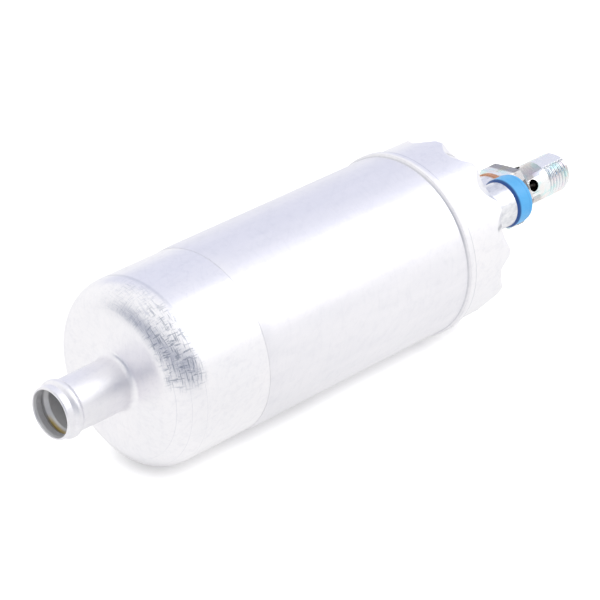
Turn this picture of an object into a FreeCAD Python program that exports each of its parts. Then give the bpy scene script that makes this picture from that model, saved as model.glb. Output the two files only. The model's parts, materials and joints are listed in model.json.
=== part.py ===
import FreeCAD, Part
import math
import os
import Sketcher

# Inline electric fuel pump: drawn can with hose neck, gear rotor stage, motor, rear cover,
# socket barrel and check valve fitting. Millimetres. The pump axis is X, outlet towards +X.

doc = FreeCAD.newDocument("fuel_pump")
sheet = doc.addObject("Spreadsheet::Sheet", "Sizes")

SIZES = [
    # outer can
    ("can_radius", "30"),
    ("can_wall", "1.5"),
    ("face_x", "-77.5"),
    ("shoulder_radius", "10.2"),
    ("mouth_x", "-103"),
    ("mouth_bore", "7.65"),
    ("neck_radius", "8.35"),
    ("neck_bore", "7.3"),
    ("lip_chamfer", "0.35"),
    ("hose_bead_place", "4.1"),
    ("hose_bead_x", "=mouth_x + hose_bead_place"),
    ("hose_bead_radius", "9.25"),
    ("hose_bead_front", "1.6"),
    ("hose_bead_rear", "1.9"),
    ("hose_bead_crest", "0.6"),
    ("neck_root_fillet", "2"),
    ("ring_start", "44.2"),
    ("ring_width", "4.4"),
    ("ring_end", "=ring_start + ring_width"),
    ("ring_rise", "1.2"),
    ("ring_flank", "1"),
    ("rim_x", "65.7"),
    ("rim_fold", "1.7"),
    ("fold_width", "4.2"),
    ("fold_radius", "=can_radius - fold_width"),
    ("rim_corner", "1"),
    ("fold_chamfer", "2"),
    ("dent_count", "12"),
    ("dent_radius", "12"),
    ("dent_depth", "3"),
    ("dent_length", "5.2"),
    ("dent_phase", "12"),
    ("can_inner", "=can_radius - can_wall"),
    # film round the can
    ("film_start", "-43"),
    ("film_thickness", "0.35"),
    # fits
    ("seat_gap", "0.05"),
    ("running_gap", "0.03"),
    ("slide_gap", "0.05"),
    ("mesh_gap", "0.05"),
    ("screw_clearance", "0.2"),
    # pump stage
    ("plate_radius", "=can_inner - seat_gap"),
    ("stage_x", "=face_x + shoulder_radius"),
    ("inlet_plate_length", "8"),
    ("rotor_length", "10"),
    ("outlet_plate_length", "8"),
    ("ring_x", "=stage_x + inlet_plate_length"),
    ("outlet_plate_x", "=ring_x + rotor_length"),
    ("stage_end", "=outlet_plate_x + outlet_plate_length"),
    ("screw_inset", "6.25"),
    ("screw_circle", "=plate_radius - screw_inset"),
    ("screw_radius", "2"),
    ("screw_head_radius", "3.4"),
    ("screw_head_length", "2.6"),
    ("screw_grip", "6"),
    ("rotor_ring_wall", "3.7"),
    ("outer_rotor_radius", "=screw_circle - screw_radius - rotor_ring_wall"),
    ("rotor_rim", "2.5"),
    ("tooth_centre_radius", "=outer_rotor_radius - rotor_rim"),
    ("tooth_radius", "=tooth_centre_radius * 9 / 28"),
    ("eccentricity", "=tooth_centre_radius * 3 / 35"),
    ("inner_teeth", "6"),
    ("tooth_root_radius", "=tooth_centre_radius - 0.42 * tooth_radius"),
    ("port_inner", "=0.63 * tooth_centre_radius"),
    ("port_outer", "=0.83 * tooth_centre_radius"),
    ("port_angle", "112"),
    # shaft and bushes
    ("shaft_radius", "3"),
    ("bush_wall", "2"),
    ("bush_radius", "=shaft_radius + bush_wall"),
    ("bush_length", "7"),
    ("shaft_start", "=stage_x + 0.6"),
    # relief valve
    ("relief_inset", "7.85"),
    ("relief_offset", "=plate_radius - relief_inset"),
    ("relief_passage", "1.4"),
    ("relief_bore", "3"),
    ("relief_ball", "2.4"),
    ("relief_wall", "1.4"),
    ("relief_boss", "=relief_bore + relief_wall"),
    ("relief_boss_length", "4.2"),
    ("relief_seat_depth", "1.6"),
    ("relief_plug_length", "2"),
    ("relief_plug_hole", "1.2"),
    ("relief_wire", "0.25"),
    ("relief_coil", "1.6"),
    # motor, placed back from the rear cover
    ("cover_skirt_length", "21"),
    ("brush_plate_length", "5"),
    ("cover_start", "=rim_x - rim_fold - cover_skirt_length"),
    ("flux_end", "=cover_start - brush_plate_length"),
    ("flux_wall", "2.2"),
    ("flux_length", "=flux_end - stage_end"),
    ("flux_inner", "=plate_radius - flux_wall"),
    ("magnet_wall", "4.8"),
    ("magnet_inner", "=flux_inner - magnet_wall"),
    ("magnet_angle", "136"),
    ("magnet_overhang", "3"),
    ("air_gap", "0.7"),
    ("commutator_setback", "13"),
    ("commutator_start", "=flux_end - commutator_setback"),
    ("commutator_length", "11"),
    ("commutator_radius", "9.5"),
    ("bar_wall", "2.9"),
    ("commutator_hub", "=commutator_radius - bar_wall"),
    ("bar_slot_depth", "1.4"),
    ("bar_slot_width", "0.7"),
    ("core_radius", "=magnet_inner - air_gap"),
    ("core_length", "40"),
    ("coil_overhang", "7.5"),
    ("core_start", "=commutator_start - 1.5 - coil_overhang - core_length"),
    ("magnet_start", "=core_start - magnet_overhang"),
    ("magnet_length", "=core_length + 2 * magnet_overhang"),
    ("slot_count", "8"),
    ("slot_width", "6"),
    ("slot_mouth", "2.4"),
    ("slot_bottom", "=0.4627 * core_radius"),
    ("tooth_tip", "2.55"),
    ("slot_top", "=core_radius - tooth_tip"),
    ("coil_inner", "=slot_bottom + 0.2"),
    ("coil_outer", "=slot_top - 0.2"),
    # brush plate, brushes
    ("brush_plate_hub", "=bush_radius + 3"),
    ("brush_width", "5"),
    ("brush_height", "6"),
    ("brush_centre", "=commutator_start + commutator_length / 2"),
    ("brush_box_wall", "1.2"),
    ("brush_box_start", "=commutator_radius + 1.5"),
    ("brush_box_end", "=plate_radius - 2.85"),
    ("brush_length", "=0.6 * (brush_box_end - brush_box_wall - commutator_radius)"),
    ("brush_spring_wire", "0.25"),
    ("brush_spring_coil", "1.7"),
    ("flow_hole", "4.5"),
    ("flow_place", "=plate_radius - flow_hole - 5.95"),
    # rear cover
    ("cover_wall_x", "=rim_x - 8.7"),
    ("skirt_wall", "3.45"),
    ("skirt_inner", "=plate_radius - skirt_wall"),
    ("cover_neck_radius", "13.5"),
    ("cover_neck_x", "=rim_x + 4.3"),
    ("boss_radius", "9.2"),
    ("boss_end", "=rim_x + 24.3"),
    ("oring_x", "=rim_x - rim_fold - 5.4"),
    ("oring_section", "1.25"),
    ("oring_groove_depth", "2.6"),
    ("oring_groove_width", "3"),
    ("passage_radius", "3.6"),
    # socket barrel, in the free space between the boss and the folded rim
    ("socket_overhang", "0.7"),
    ("barrel_room", "0.5"),
    ("boss_room", "0.2"),
    ("barrel_radius", "=(fold_radius - boss_radius - boss_room - barrel_room - socket_overhang) / 2"),
    ("socket_ring_radius", "=barrel_radius + socket_overhang"),
    ("barrel_offset", "=boss_radius + boss_room + socket_ring_radius"),
    ("barrel_angle", "149"),
    ("barrel_y", "=barrel_offset * cos(barrel_angle * 1 deg)"),
    ("barrel_z", "=barrel_offset * sin(barrel_angle * 1 deg)"),
    ("barrel_wall", "1.4"),
    ("barrel_bore", "=barrel_radius - barrel_wall"),
    ("barrel_end", "=rim_x + 10.9"),
    # blue socket ring and its core
    ("socket_lead", "0.95"),
    ("socket_ring_end", "=barrel_end + 5.5"),
    ("socket_lip_radius", "=socket_ring_radius - 0.3"),
    ("socket_end", "=socket_ring_end + 1.4"),
    ("socket_cavity", "=barrel_bore - 0.6"),
    ("socket_floor", "=barrel_end - 4.1"),
    ("socket_root", "=cover_wall_x - 2"),
    ("pin_spread", "=0.48 * socket_cavity"),
    ("pin_thickness", "0.8"),
    ("pin_width", "=0.54 * socket_cavity"),
    ("pin_tip", "=socket_end - 2"),
    ("lead_rise", "7"),
    ("pin_tail", "=cover_start + lead_rise"),
    ("lead_thickness", "0.8"),
    ("lead_reach", "=(brush_box_start + brush_box_end) / 2"),
    ("lead_level", "=barrel_z + pin_spread - pin_width / 2"),
    # outlet fitting
    ("washer_thickness", "1.5"),
    ("washer_radius", "9.6"),
    ("hex_start", "=boss_end + washer_thickness"),
    ("hex_length", "8"),
    ("hex_end", "=hex_start + hex_length"),
    ("hex_flats", "19"),
    ("hex_turn", "52.2"),
    ("hex_far_chamfer", "0.8"),
    ("shank_radius", "6.85"),
    ("root_radius", "6"),
    ("root_length", "14"),
    ("root_start", "=boss_end - root_length"),
    ("cross_x", "=hex_end + 5.1"),
    ("cross_turn", "153.2"),
    ("cross_radius", "2.1"),
    ("thread_x", "=hex_end + 12.2"),
    ("thread_length", "11.5"),
    ("fitting_end", "=thread_x + thread_length"),
    ("end_chamfer", "0.9"),
    ("flat_depth", "0.86"),
    ("flat_angle", "91.2"),
    ("valve_bore", "4.4"),
    ("valve_throat", "2.4"),
    ("valve_bore_end", "=hex_start + 5"),
    ("gallery_radius", "2.2"),
    ("gallery_end", "=cross_x + 3.9"),
    ("seat_length", "4"),
    ("poppet_stem", "1.6"),
    ("check_wire", "0.3"),
    ("check_coil", "2.6"),
    # strainer in the neck root
    ("strainer_radius", "12"),
    ("strainer_thickness", "0.8"),
    ("strainer_hole", "1.6"),
]

VALUES = {}
for row, (alias, text) in enumerate(SIZES, start=1):
    sheet.set("A%d" % row, alias)
    sheet.set("B%d" % row, text)
    sheet.setAlias("B%d" % row, alias)
doc.recompute()
for alias, text in SIZES:
    VALUES[alias] = float(sheet.get(alias))


def number(spec):
    """Value of a sum such as "rim_x - rim_fold", of named sizes, numbers and products."""
    total = 0.0
    sign = 1.0
    term = None
    for word in spec.split():
        if word in ("+", "-"):
            if term is not None:
                total += sign * term
            sign = 1.0 if word == "+" else -1.0
            term = None
        elif word == "*":
            continue
        else:
            value = VALUES[word] if word in VALUES else float(word)
            term = value if term is None else term * value
    return total + sign * term


def formula(spec):
    """The same sum as an expression on the sheet."""
    words = []
    for word in spec.split():
        words.append("Sizes." + word if word in VALUES else word)
    return " ".join(words)


def bind(item, prop, spec):
    item.setExpression(prop, formula(spec))


def plane(body, role):
    for feature in body.Origin.OriginFeatures:
        if feature.Role == role:
            return feature
    return None


def new_body(label):
    body = doc.addObject("PartDesign::Body", label)
    body.Label = label
    return body


def new_sketch(body, name, role, offset=None):
    sketch = body.newObject("Sketcher::SketchObject", name)
    sketch.AttachmentSupport = (plane(body, role), [""])
    sketch.MapMode = "FlatFace"
    if offset is not None:
        bind(sketch, "AttachmentOffset.Base.z", offset)
    return sketch


def fix_point(sketch, geometry, position, across, along):
    for kind, spec, axis in (("DistanceX", across, -2), ("DistanceY", along, -1)):
        if spec == "0":
            sketch.addConstraint(Sketcher.Constraint("PointOnObject", geometry, position, axis))
        else:
            index = sketch.addConstraint(
                Sketcher.Constraint(kind, -1, 1, geometry, position, number(spec)))
            bind(sketch, "Constraints[%d]" % index, spec)


def polygon_sketch(body, name, role, points, offset=None):
    """Closed outline; each point is a pair of sums of named sizes."""
    sketch = new_sketch(body, name, role, offset)
    spots = [FreeCAD.Vector(number(a), number(b), 0) for a, b in points]
    count = len(spots)
    for i in range(count):
        sketch.addGeometry(Part.LineSegment(spots[i], spots[(i + 1) % count]), False)
    for i in range(count):
        sketch.addConstraint(Sketcher.Constraint("Coincident", i, 2, (i + 1) % count, 1))
    for i, (a, b) in enumerate(points):
        fix_point(sketch, i, 1, a, b)
    return sketch


def circle_sketch(body, name, role, circles, offset=None):
    """Circles, each as across, along and radius."""
    sketch = new_sketch(body, name, role, offset)
    for i, (a, b, radius) in enumerate(circles):
        centre = FreeCAD.Vector(number(a), number(b), 0)
        sketch.addGeometry(Part.Circle(centre, FreeCAD.Vector(0, 0, 1), number(radius)), False)
        fix_point(sketch, i, 3, a, b)
        index = sketch.addConstraint(Sketcher.Constraint("Radius", i, number(radius)))
        bind(sketch, "Constraints[%d]" % index, radius)
    return sketch


def turned(body, name, points, kind="PartDesign::Revolution", role="XY_Plane"):
    """Solid or cut of revolution about the pump axis from points of x and radius."""
    sketch = polygon_sketch(body, name + "_outline", role, points)
    feature = body.newObject(kind, name)
    feature.Profile = sketch
    feature.ReferenceAxis = (sketch, ["H_Axis"])
    feature.Angle = 360.0
    doc.recompute()
    return feature


def pad(body, name, sketch, length, reverse=False):
    feature = body.newObject("PartDesign::Pad", name)
    feature.Profile = sketch
    bind(feature, "Length", length)
    feature.Reversed = reverse
    doc.recompute()
    return feature


def pocket(body, name, sketch, length, forward=False):
    """Cut from the sketch towards -X, or towards +X when forward is set."""
    before = body.Shape.Volume
    feature = body.newObject("PartDesign::Pocket", name)
    feature.Profile = sketch
    bind(feature, "Length", length)
    feature.Reversed = forward
    doc.recompute()
    if not body.Shape.Volume < before - 1e-6:
        raise RuntimeError("pocket cuts nothing: " + body.Label + " " + name)
    return feature


def patterned(body, name, feature, count_spec, axis_role="X_Axis"):
    pattern = body.newObject("PartDesign::PolarPattern", name)
    pattern.Originals = [feature]
    pattern.Axis = (plane(body, axis_role), [""])
    pattern.Angle = 360.0
    if count_spec in VALUES:
        bind(pattern, "Occurrences", count_spec)
    else:
        pattern.Occurrences = int(count_spec)
    body.Tip = pattern
    doc.recompute()
    return pattern


def ring_edges(shape, spots, axis_y=0.0, axis_z=0.0):
    """Names of the full circles round the axis at the given x and radius."""
    names = []
    for x_spec, r_spec in spots:
        x = number(x_spec)
        radius = number(r_spec)
        for i, edge in enumerate(shape.Edges, start=1):
            curve = edge.Curve
            if not hasattr(curve, "Radius"):
                continue
            centre = curve.Center
            if abs(curve.Radius - radius) > 1e-4 or abs(centre.x - x) > 1e-4:
                continue
            if math.hypot(centre.y - axis_y, centre.z - axis_z) < 1e-4:
                names.append("Edge%d" % i)
    if len(names) < len(spots):
        raise RuntimeError("edge not found")
    return names


def rounded(body, name, spots, radius):
    base = body.Tip
    fillet = body.newObject("PartDesign::Fillet", name)
    fillet.Base = (base, ring_edges(base.Shape, spots))
    bind(fillet, "Radius", radius)
    doc.recompute()
    return fillet


def rod(name, radius, x_start, length, y_spec="0", z_spec="0"):
    """Plain cylinder along X as a Part primitive."""
    item = doc.addObject("Part::Cylinder", name)
    item.Placement = FreeCAD.Placement(
        FreeCAD.Vector(0, 0, 0), FreeCAD.Rotation(FreeCAD.Vector(0, 1, 0), 90))
    bind(item, "Radius", radius)
    bind(item, "Height", length)
    bind(item, "Placement.Base.x", x_start)
    if y_spec != "0":
        bind(item, "Placement.Base.y", y_spec)
    if z_spec != "0":
        bind(item, "Placement.Base.z", z_spec)
    return item


def block(name, x_start, y_start, z_start, length, width, height):
    item = doc.addObject("Part::Box", name)
    bind(item, "Placement.Base.x", x_start)
    bind(item, "Placement.Base.y", y_start)
    bind(item, "Placement.Base.z", z_start)
    bind(item, "Length", length)
    bind(item, "Width", width)
    bind(item, "Height", height)
    return item


def fused(name, items):
    item = doc.addObject("Part::MultiFuse", name)
    item.Shapes = items
    return item


def cut(name, base, tool):
    item = doc.addObject("Part::Cut", name)
    item.Base = base
    item.Tool = tool
    return item


NODES = []


def keep(item, label):
    item.Label = label
    NODES.append((label, item))
    return item


# can: drawn cup with hose neck, shoulder, formed ring and folded rim
can = new_body("can")
turned(can, "can_wall_turned", [
    ("mouth_x", "mouth_bore"),
    ("mouth_x", "neck_radius - lip_chamfer"),
    ("mouth_x + lip_chamfer", "neck_radius"),
    ("hose_bead_x - hose_bead_front", "neck_radius"),
    ("hose_bead_x - hose_bead_crest", "hose_bead_radius"),
    ("hose_bead_x + hose_bead_crest", "hose_bead_radius"),
    ("hose_bead_x + hose_bead_rear", "neck_radius"),
    ("face_x", "neck_radius"),
    ("face_x", "can_radius"),
    ("ring_start", "can_radius"),
    ("ring_start + ring_flank", "can_radius + ring_rise"),
    ("ring_end - ring_flank", "can_radius + ring_rise"),
    ("ring_end", "can_radius"),
    ("rim_x", "can_radius"),
    ("rim_x", "fold_radius"),
    ("rim_x - rim_fold", "fold_radius"),
    ("rim_x - rim_fold", "can_inner - fold_chamfer"),
    ("rim_x - rim_fold - fold_chamfer", "can_inner"),
    ("ring_end - 0.4 * ring_flank", "can_inner"),
    ("ring_end - 1.4 * ring_flank", "can_inner + ring_rise"),
    ("ring_start + 1.4 * ring_flank", "can_inner + ring_rise"),
    ("ring_start + 0.4 * ring_flank", "can_inner"),
    ("face_x + can_wall", "can_inner"),
    ("face_x + can_wall", "neck_bore"),
    ("hose_bead_x + hose_bead_rear - 0.3", "neck_bore"),
    ("hose_bead_x + 0.3", "hose_bead_radius - 1.1"),
    ("hose_bead_x - 0.3", "hose_bead_radius - 1.1"),
    ("hose_bead_x - hose_bead_front + 0.3", "neck_bore"),
    ("mouth_x + 1", "neck_bore"),
])
rounded(can, "shoulder", [("face_x", "can_radius")], "shoulder_radius")
rounded(can, "shoulder_inside", [("face_x + can_wall", "can_inner")], "shoulder_radius - can_wall")
rounded(can, "neck_root", [("face_x", "neck_radius")], "neck_root_fillet")
rounded(can, "bead_crest", [
    ("hose_bead_x - hose_bead_crest", "hose_bead_radius"),
    ("hose_bead_x + hose_bead_crest", "hose_bead_radius")], "0.9")
rounded(can, "rim_round", [("rim_x", "can_radius")], "rim_corner")
# each dent is a cone whose axis is parallel to the pump axis, fading out into the wall
dent_sketch = new_sketch(can, "dent_outline", "YZ_Plane", "rim_x")
dent_centre = "can_radius + dent_radius - dent_depth"
dent_sketch.addGeometry(Part.Circle(
    FreeCAD.Vector(number(dent_centre), 0, 0), FreeCAD.Vector(0, 0, 1), number("dent_radius")), False)
fix_point(dent_sketch, 0, 3, dent_centre, "0")
dent_sketch.addConstraint(Sketcher.Constraint("Radius", 0, number("dent_radius")))
bind(dent_sketch, "Constraints[%d]" % (dent_sketch.ConstraintCount - 1), "dent_radius")
bind(dent_sketch, "AttachmentOffset.Rotation.Angle", "dent_phase")
dent = pocket(can, "dent", dent_sketch, "dent_length")
dent.setExpression("TaperAngle", "-atan2(Sizes.dent_depth; Sizes.dent_length)")
doc.recompute()
patterned(can, "dents", dent, "dent_count")
keep(can, "can")

# film round the straight part of the can
film = cut("film_cut", rod("film_outer", "can_radius + film_thickness", "film_start", "ring_start - film_start"),
           rod("film_inner", "can_radius + seat_gap", "film_start - 1", "ring_start - film_start + 2"))
keep(film, "label_sleeve")

# strainer disc behind the neck
strainer = new_body("inlet_strainer")
turned(strainer, "strainer_disc", [
    ("face_x + can_wall", "0"),
    ("face_x + can_wall", "strainer_radius"),
    ("face_x + can_wall + strainer_thickness", "strainer_radius"),
    ("face_x + can_wall + strainer_thickness", "0"),
])
hole_sketch = circle_sketch(strainer, "strainer_hole_outline", "YZ_Plane",
                            [("0.58 * neck_bore", "0", "strainer_hole")],
                            "face_x + can_wall + strainer_thickness + 1")
hole = pocket(strainer, "strainer_hole", hole_sketch, "strainer_thickness + 2")
patterned(strainer, "strainer_holes", hole, "6")
centre_sketch = circle_sketch(strainer, "strainer_middle_outline", "YZ_Plane",
                              [("0", "0", "strainer_hole")],
                              "face_x + can_wall + strainer_thickness + 1")
pocket(strainer, "strainer_middle", centre_sketch, "strainer_thickness + 2")
keep(strainer, "inlet_strainer")


def stage_plate(label, x_start, length, bore, screw_hole, port_sign=0):
    """Disc of the pump stage with its bore, kidney port and screw holes."""
    body = new_body(label)
    turned(body, label + "_disc", [
        (x_start, bore),
        (x_start, "plate_radius"),
        (x_start + " + " + length, "plate_radius"),
        (x_start + " + " + length, bore),
    ])
    if port_sign:
        inner = "port_inner" if port_sign > 0 else "0 - port_inner"
        outer = "port_outer" if port_sign > 0 else "0 - port_outer"
        outline = polygon_sketch(body, label + "_port_outline", "XZ_Plane", [
            (x_start + " - 1", inner),
            (x_start + " - 1", outer),
            (x_start + " + " + length + " + 1", outer),
            (x_start + " + " + length + " + 1", inner),
        ])
        port = body.newObject("PartDesign::Groove", label + "_port")
        port.Profile = outline
        port.ReferenceAxis = (outline, ["H_Axis"])
        bind(port, "Angle", "port_angle")
        port.Midplane = True
        doc.recompute()
    holes = circle_sketch(body, label + "_screw_outline", "YZ_Plane",
                          [("0 - screw_circle", "0", screw_hole)],
                          x_start + " + " + length + " + 1")
    hole = pocket(body, label + "_screw_hole", holes, length + " + 2")
    patterned(body, label + "_screw_holes", hole, "3")
    return body


# inlet plate with bush bore, kidney port, relief valve boss and seat
inlet_plate = stage_plate("inlet_plate", "stage_x", "inlet_plate_length", "bush_radius",
                          "screw_radius", 1)
boss_sketch = circle_sketch(inlet_plate, "relief_boss_outline", "YZ_Plane",
                            [("0", "relief_offset", "relief_boss")], "stage_x - relief_boss_length")
pad(inlet_plate, "relief_boss_pad", boss_sketch, "relief_boss_length + 1")
bore_sketch = circle_sketch(inlet_plate, "relief_bore_outline", "YZ_Plane",
                            [("0", "relief_offset", "relief_bore")], "stage_x - relief_boss_length")
pocket(inlet_plate, "relief_bore_cut", bore_sketch,
       "relief_boss_length + inlet_plate_length - relief_seat_depth", forward=True)
inlet_throat = circle_sketch(inlet_plate, "relief_throat_outline", "YZ_Plane",
                             [("0", "relief_offset", "relief_passage")], "ring_x + 1")
pocket(inlet_plate, "relief_throat", inlet_throat, "relief_seat_depth + 2")
keep(inlet_plate, "inlet_plate")

# ring round the rotors, bored off centre
rotor_ring = stage_plate("rotor_ring", "ring_x", "rotor_length", "bush_radius",
                         "screw_radius + screw_clearance")
ring_bore = circle_sketch(rotor_ring, "rotor_ring_bore_outline", "YZ_Plane",
                          [("eccentricity", "0", "outer_rotor_radius + slide_gap")],
                          "outlet_plate_x + 1")
pocket(rotor_ring, "rotor_ring_bore", ring_bore, "rotor_length + 2")
ring_passage = circle_sketch(rotor_ring, "rotor_ring_passage_outline", "YZ_Plane",
                             [("0", "relief_offset", "relief_passage")], "outlet_plate_x + 1")
pocket(rotor_ring, "rotor_ring_passage", ring_passage, "rotor_length + 2")
keep(rotor_ring, "rotor_ring")

# outlet plate
outlet_plate = stage_plate("outlet_plate", "outlet_plate_x", "outlet_plate_length", "bush_radius",
                           "screw_radius + screw_clearance", -1)
plate_passage = circle_sketch(outlet_plate, "outlet_plate_passage_outline", "YZ_Plane",
                              [("0", "relief_offset", "relief_passage")], "stage_end + 1")
pocket(outlet_plate, "outlet_plate_passage", plate_passage, "outlet_plate_length + 2")
keep(outlet_plate, "outlet_plate")

# one turned screw, three places
screw = new_body("screw_shape")
turned(screw, "screw_turned", [
    ("ring_x - screw_grip", "0"),
    ("ring_x - screw_grip", "screw_radius"),
    ("stage_end", "screw_radius"),
    ("stage_end", "screw_head_radius"),
    ("stage_end + screw_head_length", "screw_head_radius"),
    ("stage_end + screw_head_length", "1.5"),
    ("stage_end + 1", "1.5"),
    ("stage_end + 1", "0"),
])
screws = []
for index in range(3):
    link = doc.addObject("Part::Refine", "screw_%d" % index)
    link.Source = screw
    angle = math.radians(180.0 + 120.0 * index)
    link.Placement = FreeCAD.Placement(
        FreeCAD.Vector(0, number("screw_circle") * math.cos(angle), number("screw_circle") * math.sin(angle)),
        FreeCAD.Rotation())
    screws.append(link)

# the screws stand on the hole circle that the plates use
screw_set = doc.addObject("Part::Compound", "screw_set")
screw_set.Links = screws
keep(screw_set, "stage_screws")


def rotor_profiles():
    """Outlines of the meshing rotors as wires in the plane x = 0.

    The outer rotor's teeth are circles. The inner rotor's flank is the path of such a
    tooth's centre, seen from the inner rotor, moved inwards by the tooth radius.
    """
    pitch = VALUES["tooth_centre_radius"]
    offset = VALUES["tooth_radius"] + VALUES["mesh_gap"]
    shift = VALUES["eccentricity"]
    teeth = int(VALUES["inner_teeth"])
    step = teeth + 1
    count = teeth * 16
    points = []
    for i in range(count):
        turn = 2.0 * math.pi * i / count
        y = pitch * math.cos(turn) + shift * math.cos(step * turn)
        z = pitch * math.sin(turn) + shift * math.sin(step * turn)
        dy = -pitch * math.sin(turn) - shift * step * math.sin(step * turn)
        dz = pitch * math.cos(turn) + shift * step * math.cos(step * turn)
        size = math.hypot(dy, dz)
        points.append(FreeCAD.Vector(0, y - offset * dz / size, z + offset * dy / size))
    flanks = []
    for i in range(0, count, 2):
        flanks.append(Part.Arc(points[i], points[i + 1], points[(i + 2) % count]).toShape())
    inner = Part.Wire(flanks)
    radius = VALUES["tooth_radius"]
    root = VALUES["tooth_root_radius"]
    cosine = (pitch * pitch + radius * radius - root * root) / (2.0 * pitch * radius)
    beta = math.acos(cosine)
    gamma = math.asin(radius * math.sin(beta) / root)
    edges = []
    for k in range(step):
        centre = 2.0 * math.pi * k / step
        following = 2.0 * math.pi * (k + 1) / step
        def at(distance, angle):
            return FreeCAD.Vector(0, shift + distance * math.cos(angle), distance * math.sin(angle))
        start = at(root, centre - gamma)
        middle = at(pitch - radius, centre)
        finish = at(root, centre + gamma)
        edges.append(Part.Arc(start, middle, finish).toShape())
        edges.append(Part.Arc(finish, at(root, (centre + following) / 2.0),
                              at(root, following - gamma)).toShape())
    return inner, Part.Wire(edges)


def extruded(name, wire, x_start, length):
    """Solid pushed along X from a flat outline."""
    outline = doc.addObject("Part::Feature", name + "_outline")
    outline.Shape = wire
    item = doc.addObject("Part::Extrusion", name)
    item.Base = outline
    item.DirMode = "Custom"
    item.Dir = FreeCAD.Vector(1, 0, 0)
    item.Solid = True
    bind(item, "LengthFwd", length)
    bind(item, "Placement.Base.x", x_start)
    return item


inner_wire, outer_wire = rotor_profiles()
inner_blank = extruded("inner_rotor_blank", inner_wire, "ring_x + running_gap", "rotor_length - 2 * running_gap")
inner_rotor = cut("inner_rotor_cut", inner_blank, rod("inner_rotor_bore", "shaft_radius", "ring_x", "rotor_length"))
keep(inner_rotor, "inner_rotor")
outer_space = extruded("outer_rotor_space", outer_wire, "ring_x", "rotor_length")
outer_blank = rod("outer_rotor_blank", "outer_rotor_radius", "ring_x + running_gap",
                  "rotor_length - 2 * running_gap", "eccentricity", "0")
outer_rotor = cut("outer_rotor_cut", outer_blank, outer_space)
keep(outer_rotor, "outer_rotor")


def bush(label, x_start, length):
    body = new_body(label)
    turned(body, label + "_turned", [
        (x_start, "shaft_radius + running_gap"),
        (x_start, "bush_radius"),
        (x_start + " + " + length, "bush_radius"),
        (x_start + " + " + length, "shaft_radius + running_gap"),
    ])
    return keep(body, label)


bush("front_bush", "stage_x + 0.5", "bush_length")
bush("middle_bush", "outlet_plate_x + 0.5", "bush_length")
bush("rear_bush", "flux_end - 1", "bush_length")

shaft = new_body("shaft")
turned(shaft, "shaft_turned", [
    ("shaft_start", "0"),
    ("shaft_start", "shaft_radius - 0.4"),
    ("shaft_start + 0.4", "shaft_radius"),
    ("flux_end + 5.4", "shaft_radius"),
    ("flux_end + 5.8", "shaft_radius - 0.4"),
    ("flux_end + 5.8", "0"),
])
keep(shaft, "shaft")

# relief valve: ball, spring and drilled plug in the inlet plate boss
ball_x = VALUES["ring_x"] - VALUES["relief_seat_depth"] - math.sqrt(
    VALUES["relief_ball"] ** 2 - VALUES["relief_passage"] ** 2)
relief_ball = doc.addObject("Part::Sphere", "relief_ball_shape")
bind(relief_ball, "Radius", "relief_ball")
relief_ball.setExpression(
    "Placement.Base.x",
    "Sizes.ring_x - Sizes.relief_seat_depth - sqrt(Sizes.relief_ball ^ 2 - Sizes.relief_passage ^ 2)")
bind(relief_ball, "Placement.Base.z", "relief_offset")
keep(relief_ball, "relief_ball")

relief_plug = cut("relief_plug_cut",
                  rod("relief_plug_outer", "relief_bore", "stage_x - relief_boss_length",
                      "relief_plug_length", "0", "relief_offset"),
                  rod("relief_plug_inner", "relief_plug_hole", "stage_x - relief_boss_length - 1",
                      "relief_plug_length + 2", "0", "relief_offset"))
keep(relief_plug, "relief_plug")


def coil(name, wire, coil_radius, start, end, turns, position, turn_to):
    """Spring of short straight lengths between two stops, along the way turn_to gives to Z."""
    length = end - start - 2.0 * wire
    steps = turns * 12
    path = []
    for i in range(steps + 1):
        angle = 2.0 * math.pi * i / 12
        path.append(FreeCAD.Vector(coil_radius * math.cos(angle), coil_radius * math.sin(angle),
                                   start + wire + length * i / steps))
    spine = doc.addObject("Part::Feature", name + "_path")
    spine.Shape = Part.makePolygon(path)
    ahead = (path[1] - path[0]).normalize()
    across = FreeCAD.Vector(0, 0, 1).cross(ahead).normalize()
    above = ahead.cross(across).normalize()
    corners = []
    for k in range(7):
        angle = math.radians(60.0 * k + 30.0)
        corners.append(path[0] + across * (wire * math.cos(angle)) + above * (wire * math.sin(angle)))
    ring = doc.addObject("Part::Feature", name + "_section")
    ring.Shape = Part.makePolygon(corners)
    sweep = doc.addObject("Part::Sweep", name + "_sweep")
    sweep.Sections = [ring]
    sweep.Spine = (spine, [])
    sweep.Solid = True
    sweep.Frenet = False
    sweep.Transition = "Right corner"
    doc.recompute()
    sweep.Placement = FreeCAD.Placement(position, turn_to)
    return sweep


ALONG_X = FreeCAD.Rotation(FreeCAD.Vector(0, 1, 0), 90)
relief_spring = coil("relief_spring_coil", VALUES["relief_wire"], VALUES["relief_coil"],
                     number("stage_x - relief_boss_length + relief_plug_length"),
                     ball_x - math.sqrt(VALUES["relief_ball"] ** 2 - VALUES["relief_coil"] ** 2),
                     4, FreeCAD.Vector(0, 0, VALUES["relief_offset"]), ALONG_X)
keep(relief_spring, "relief_spring")

# motor: steel tube, two magnet shells, spring clips between them
flux = cut("flux_cut", rod("flux_outer", "plate_radius", "stage_end", "flux_length"),
           rod("flux_bore", "flux_inner", "stage_end - 1", "flux_length + 2"))
keep(flux, "flux_tube")


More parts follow.
